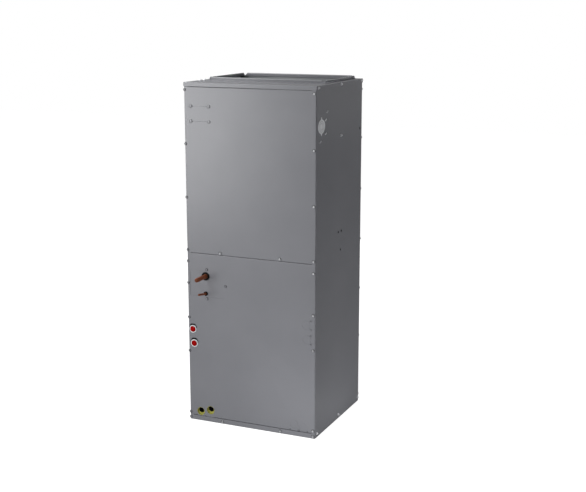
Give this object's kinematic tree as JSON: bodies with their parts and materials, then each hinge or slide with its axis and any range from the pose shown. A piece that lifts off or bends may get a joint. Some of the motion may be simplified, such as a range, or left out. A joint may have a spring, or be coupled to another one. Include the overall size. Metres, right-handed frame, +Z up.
{
  "type": "air handling unit",
  "caption": "Upright grey sheet-metal air handler with a flanged supply opening on top, a blower over an A-shaped coil, drain ports and copper stubs at the front, and a return opening below.",
  "frame": {"origin": "middle of the cabinet's footprint, on the floor plane of its base", "axes": "+X to the right of the front, +Y to the back, +Z up"},
  "size_m": [0.625, 0.6295, 1.5495],
  "materials": {
    "cabinet_paint": "satin",
    "galvanised_steel": "spangled",
    "copper_tube": "dull",
    "black_rubber": "matte",
    "yellow_plastic": "moulded",
    "white_plastic": "moulded",
    "red_plastic": "moulded",
    "liner_foil": "foil-faced insulation",
    "fin_aluminium": "finned",
    "pan_plastic": "moulded",
    "motor_black": "satin"
  },
  "bodies": {
    "root": {"left_side_panel": "cabinet_paint", "right_side_panel": "cabinet_paint", "back_panel": "cabinet_paint", "top_cap": "cabinet_paint", "upper_front_panel": "cabinet_paint", "lower_front_panel": "cabinet_paint", "front_base_strip": "cabinet_paint", "base_frame": "cabinet_paint", "mid_rail": "cabinet_paint", "line_set_plate": "cabinet_paint", "suction_grommet": "black_rubber", "liquid_grommet": "black_rubber", "suction_line": "copper_tube", "liquid_line": "copper_tube", "conduit_knockout": "galvanised_steel", "cap_hole_plugs": "galvanised_steel", "primary_drain_port": "yellow_plastic", "overflow_drain_port": "yellow_plastic", "upper_side_port": "white_plastic", "lower_side_port": "white_plastic", "upper_port_plug": "red_plastic", "lower_port_plug": "red_plastic", "left_liner": "liner_foil", "right_liner": "liner_foil", "back_liner": "liner_foil", "front_liner": "liner_foil", "blower_deck": "galvanised_steel", "blower_housing": "galvanised_steel", "blower_wheel": "galvanised_steel", "blower_motor": "motor_black", "motor_mount": "galvanised_steel", "coil_slab_left": "fin_aluminium", "coil_slab_right": "fin_aluminium", "coil_end_front": "galvanised_steel", "coil_end_back": "galvanised_steel", "coil_apex_cap": "galvanised_steel", "drain_pan": "pan_plastic", "side_drain_pan": "pan_plastic"}
  },
  "joints": []
}
